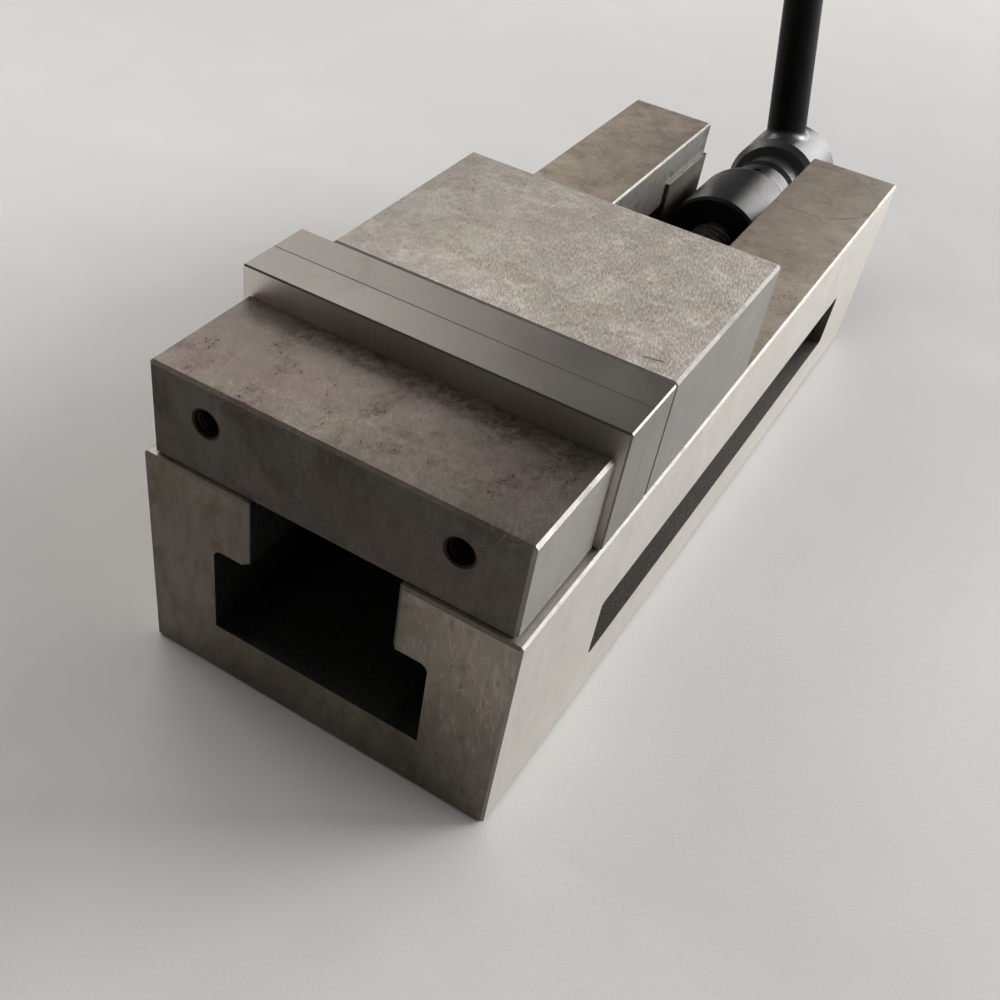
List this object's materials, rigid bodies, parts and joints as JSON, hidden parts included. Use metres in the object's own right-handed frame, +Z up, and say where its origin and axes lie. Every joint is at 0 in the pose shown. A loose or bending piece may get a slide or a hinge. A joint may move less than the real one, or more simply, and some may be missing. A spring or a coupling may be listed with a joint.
{
  "type": "machine vise",
  "caption": "Ground steel precision vise with a T channel bed, a pull-down jaw on a thrust spindle, hardened jaw plates and a slip-on crank handle.",
  "frame": {"origin": "on the ground base, in the middle of the bed's width, under the fixed jaw's gripping face", "axes": "+Y runs along the bed from the fixed jaw to the crank, +Z is up, +X is to the right seen from the front"},
  "size_m": [0.151, 0.5903, 0.2242],
  "materials": {
    "ground_steel": "ground and worn",
    "hardened_steel": "finely ground",
    "slide_steel": "machined and oiled",
    "spindle_steel": "turned and oiled",
    "bearing_steel": "polished",
    "cage_brass": "plain",
    "black_steel": "black oxide, satin",
    "black_screws": "black oxide",
    "grip_plastic": "gloss",
    "wiper_rubber": "matte"
  },
  "bodies": {
    "bed": {"body": "ground_steel", "fixed_jaw": "ground_steel", "fixed_jaw_bolts": "black_screws", "fixed_jaw_dowels": "bearing_steel", "fixed_jaw_plate": "hardened_steel", "fixed_plate_screws": "black_screws", "nut_cradle": "ground_steel", "spindle_nut": "black_steel", "nut_cross_pins": "bearing_steel", "cradle_bolts": "black_screws", "nut_wiper": "wiper_rubber"},
    "sliding_jaw": {"movable_jaw": "ground_steel", "movable_jaw_plate": "hardened_steel", "movable_plate_screws": "black_screws", "pull_down_segment": "bearing_steel", "pull_down_slide": "slide_steel", "jaw_return_screw": "black_screws", "bearing_front_washer": "bearing_steel", "keeper_plate": "slide_steel", "keeper_screws": "black_screws"},
    "spindle_assembly": {"spindle": "spindle_steel", "bearing_rear_washer": "bearing_steel"},
    "roller_cage": {"bearing_cage": "cage_brass", "bearing_rollers": "bearing_steel"},
    "crank_handle": {"crank": "black_steel", "grip_bolt": "black_screws", "grip_washer": "bearing_steel"},
    "revolving_grip": {"crank_grip": "grip_plastic"}
  },
  "joints": [
    {"name": "jaw_slide", "type": "slide", "parent": "bed", "child": "sliding_jaw", "axis": [0, 1, 0], "range_m": [0, 0.2]},
    {"name": "spindle_turn", "type": "hinge", "parent": "sliding_jaw", "child": "spindle_assembly", "pos_m": [0, 0.2, 0.0465], "axis": [0, 1, 0], "range_deg": [0, 14400]},
    {"name": "bearing_cage_turn", "type": "hinge", "parent": "sliding_jaw", "child": "roller_cage", "pos_m": [0, 0.0572, 0.0465], "axis": [0, 1, 0], "range_deg": [0, 7200]},
    {"name": "crank_pull", "type": "slide", "parent": "spindle_assembly", "child": "crank_handle", "axis": [0, 1, 0], "range_m": [0, 0.045]},
    {"name": "grip_spin", "type": "hinge", "parent": "crank_handle", "child": "revolving_grip", "pos_m": [-0.03035, 0.47, 0.20868], "axis": [0, 1, 0], "continuous": true}
  ],
  "couplings": [
    {"joint": "jaw_slide", "follows": "spindle_turn", "m_per_rad": 0.00079577},
    {"joint": "bearing_cage_turn", "follows": "spindle_turn", "ratio": 0.5}
  ]
}
